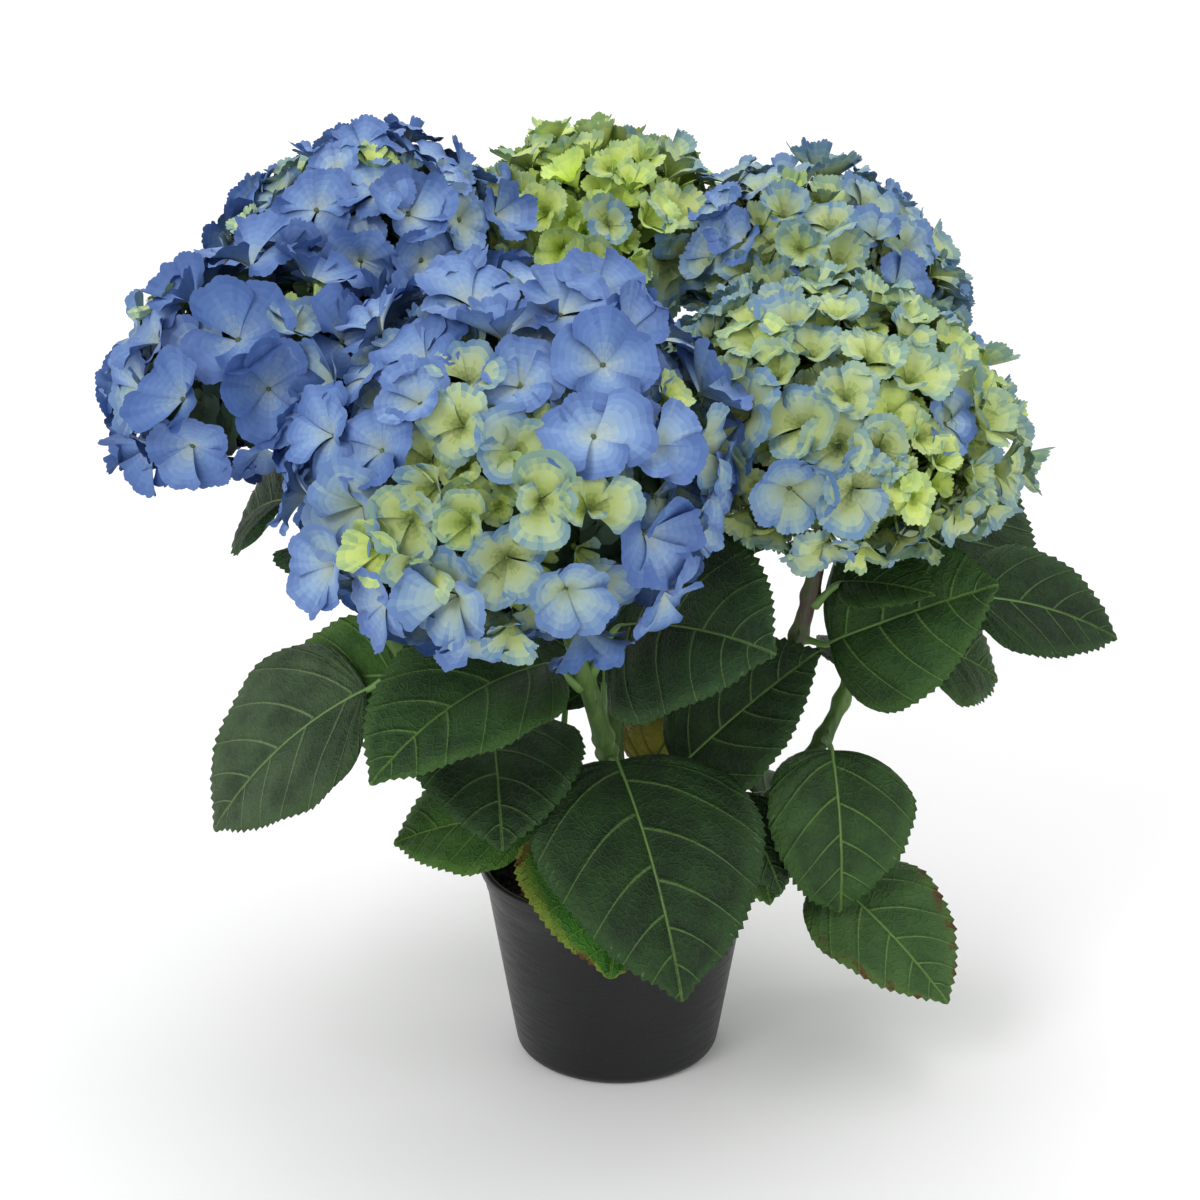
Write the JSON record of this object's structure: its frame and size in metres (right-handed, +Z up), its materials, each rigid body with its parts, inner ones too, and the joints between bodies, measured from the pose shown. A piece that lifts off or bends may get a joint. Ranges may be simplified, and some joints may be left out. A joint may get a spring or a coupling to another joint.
{
  "type": "potted hydrangea shrub",
  "caption": "Potted mophead hydrangea: tapering stems from a woody crown carry domes of blue and lime blossom over broad toothed leaves, in a round black nursery pot.",
  "frame": {"origin": "middle of the pot's flat underside", "axes": "+Z up out of the pot, -Y towards the side with the largest flower head, +X to the right of that side"},
  "size_m": [0.5432, 0.4106, 0.5029],
  "materials": {
    "pot_plastic": "satin",
    "medium": "matte",
    "old_wood": "matte",
    "stem": "satin",
    "leaf": "satin",
    "blossom_blue": "matte",
    "blossom_pale": "matte",
    "blossom_lime": "matte"
  },
  "bodies": {
    "root": {"crown": "old_wood", "flower_a": "blossom_blue", "flower_b": "blossom_blue", "flower_c": "blossom_blue", "flower_d": "blossom_lime", "flower_e": "blossom_pale", "flower_f": "blossom_pale", "growing_medium": "medium", "leaf_a1": "leaf", "leaf_a2": "leaf", "leaf_a3": "leaf", "leaf_a4": "leaf", "leaf_a5": "leaf", "leaf_b1": "leaf", "leaf_b2": "leaf", "leaf_b3": "leaf", "leaf_b4": "leaf", "leaf_b5": "leaf", "leaf_b6": "leaf", "leaf_b7": "leaf", "leaf_c1": "leaf", "leaf_c2": "leaf", "leaf_c3": "leaf", "leaf_c4": "leaf", "leaf_c5": "leaf", "leaf_c6": "leaf", "leaf_d1": "leaf", "leaf_d2": "leaf", "leaf_d3": "leaf", "leaf_d4": "leaf", "leaf_d5": "leaf", "leaf_d6": "leaf", "leaf_e1": "leaf", "leaf_e2": "leaf", "leaf_e3": "leaf", "leaf_e4": "leaf", "leaf_e5": "leaf", "leaf_e6": "leaf", "leaf_e7": "leaf", "leaf_e8": "leaf", "leaf_e9": "leaf", "leaf_f1": "leaf", "leaf_f2": "leaf", "leaf_f3": "leaf", "leaf_f4": "leaf", "leaf_f5": "leaf", "pot": "pot_plastic", "stem_a": "stem", "stem_b": "stem", "stem_c": "stem", "stem_d": "stem", "stem_e": "stem", "stem_f": "stem"}
  },
  "joints": []
}
